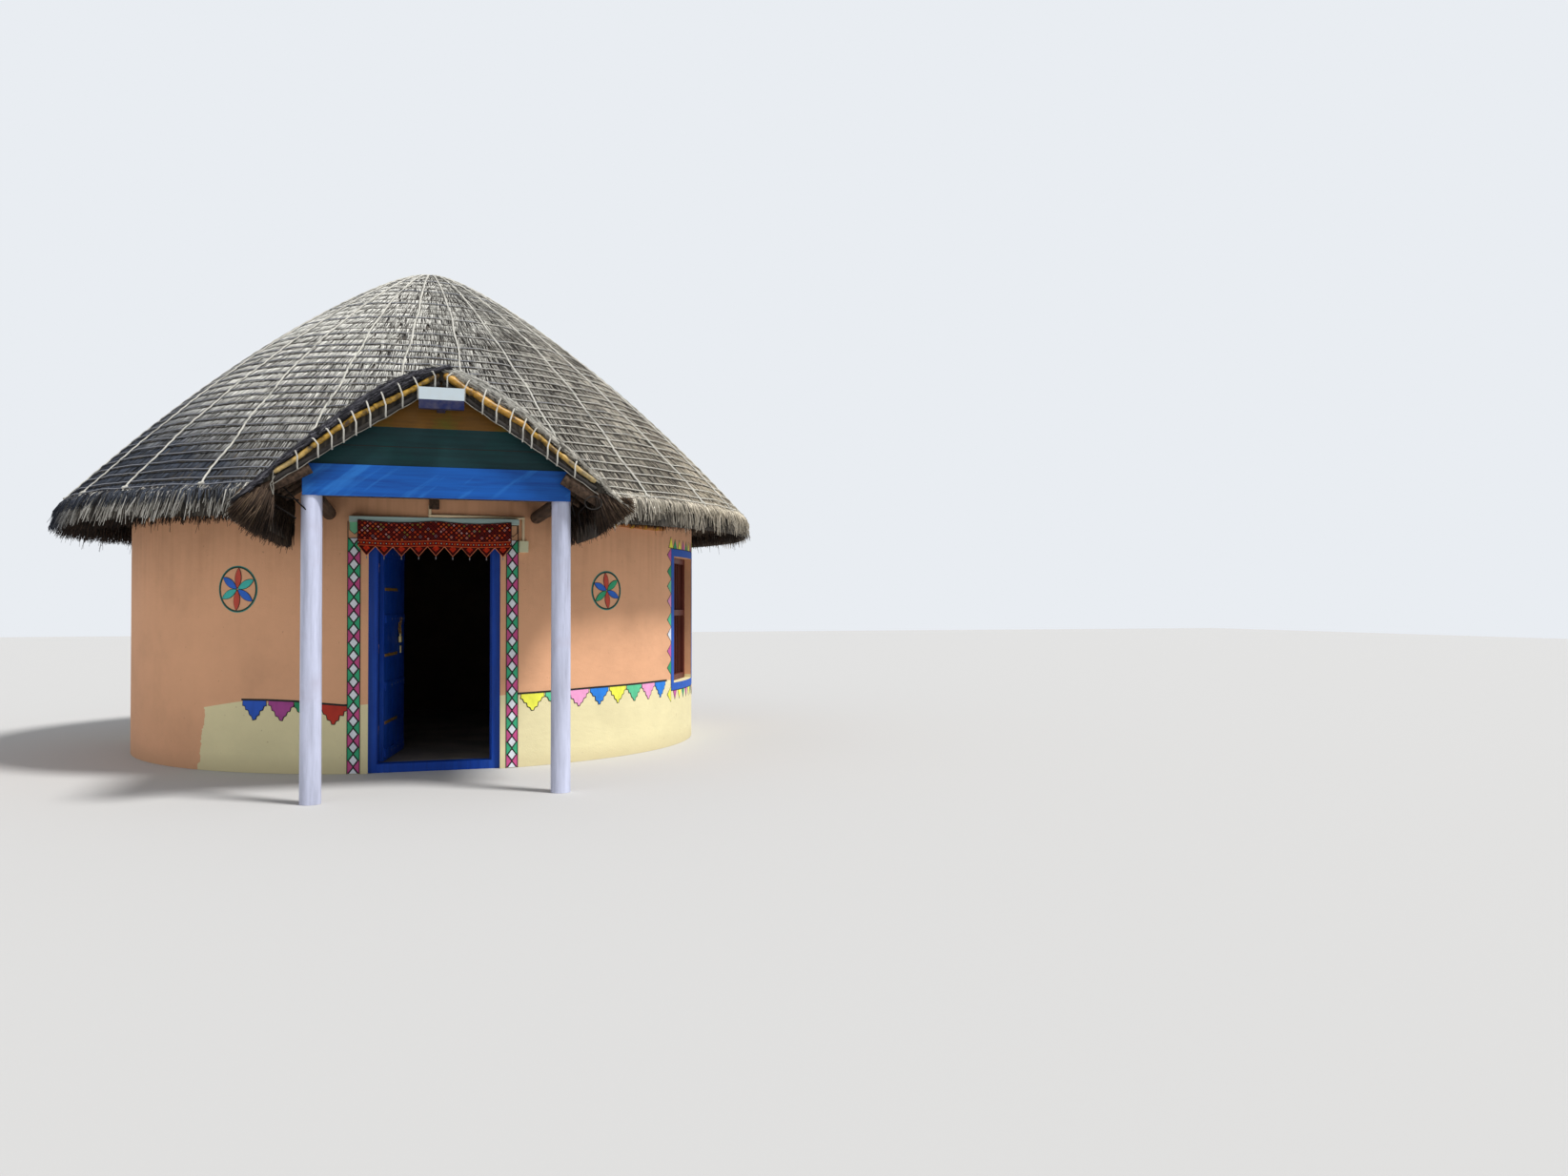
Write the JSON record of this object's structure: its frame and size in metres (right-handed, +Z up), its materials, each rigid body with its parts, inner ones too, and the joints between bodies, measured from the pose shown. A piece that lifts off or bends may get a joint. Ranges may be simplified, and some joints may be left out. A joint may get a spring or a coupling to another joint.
{
  "type": "rondavel hut",
  "caption": "Round plastered hut with a domed thatch roof, a gabled porch on posts and a hinged wooden door.",
  "frame": {"origin": "centre of the round plan on the floor's underside, at ground level", "axes": "+Z up, -Y out of the door, +X to the right as seen from the front"},
  "size_m": [6.9022, 7.9778, 5.0228],
  "materials": {
    "floor": "trowelled cement",
    "plaster": "matt salmon limewash on mud plaster",
    "pole": "rough round timber",
    "thatch": "weathered grass thatch",
    "post": "white gloss paint",
    "fascia_blue": "brushed blue paint",
    "board_green": "dark green paint",
    "board_ochre": "ochre stain",
    "bamboo": "split bamboo",
    "rod": "grey weathered stick",
    "door_blue": "deep blue gloss paint",
    "brass": "dull brass",
    "window_wood": "maroon paint",
    "rail": "pale blue-grey paint",
    "cloth": "embroidered cotton",
    "conduit": "painted plastic tube",
    "switch": "cream plastic",
    "lamp_case": "dark blue plastic",
    "diffuser": "milky plastic"
  },
  "bodies": {
    "hut": {"floor_slab": "floor", "wall_front_left": "plaster", "wall_left": "plaster", "wall_back_left": "plaster", "wall_back_right": "plaster", "wall_right_back": "plaster", "wall_under_window": "plaster", "wall_over_window": "plaster", "wall_front_right": "plaster", "wall_over_door": "plaster", "wall_plate": "plaster", "roof_rafters": "pole", "roof_hub": "pole", "roof_hoops": "pole", "roof_thatch": "thatch", "porch_post_left": "post", "porch_post_right": "post", "porch_side_logs": "pole", "porch_beam": "pole", "porch_fascia": "fascia_blue", "gable_boards_green": "board_green", "gable_board_ochre": "board_ochre", "porch_ridge_pole": "pole", "porch_purlins": "pole", "porch_thatch": "thatch", "verge_bamboo": "bamboo", "verge_rods": "rod", "door_jamb_left": "door_blue", "door_jamb_right": "door_blue", "door_head": "door_blue", "door_sill": "door_blue", "door_stops": "door_blue", "door_hinge_pins": "brass", "window_frame": "window_wood", "valance_rail": "rail", "valance": "cloth", "conduit": "conduit", "switch_box": "switch", "gable_lamp": "lamp_case", "lamp_diffuser": "diffuser"},
    "leaf": {"door_leaf": "door_blue", "door_battens": "door_blue", "door_straps": "brass", "door_knuckles": "brass"}
  },
  "joints": [
    {"name": "door_swing", "type": "hinge", "parent": "hut", "child": "leaf", "pos_m": [-0.4775, -2.638, 1], "axis": [0, 0, 1], "range_deg": [-80, 15]}
  ]
}
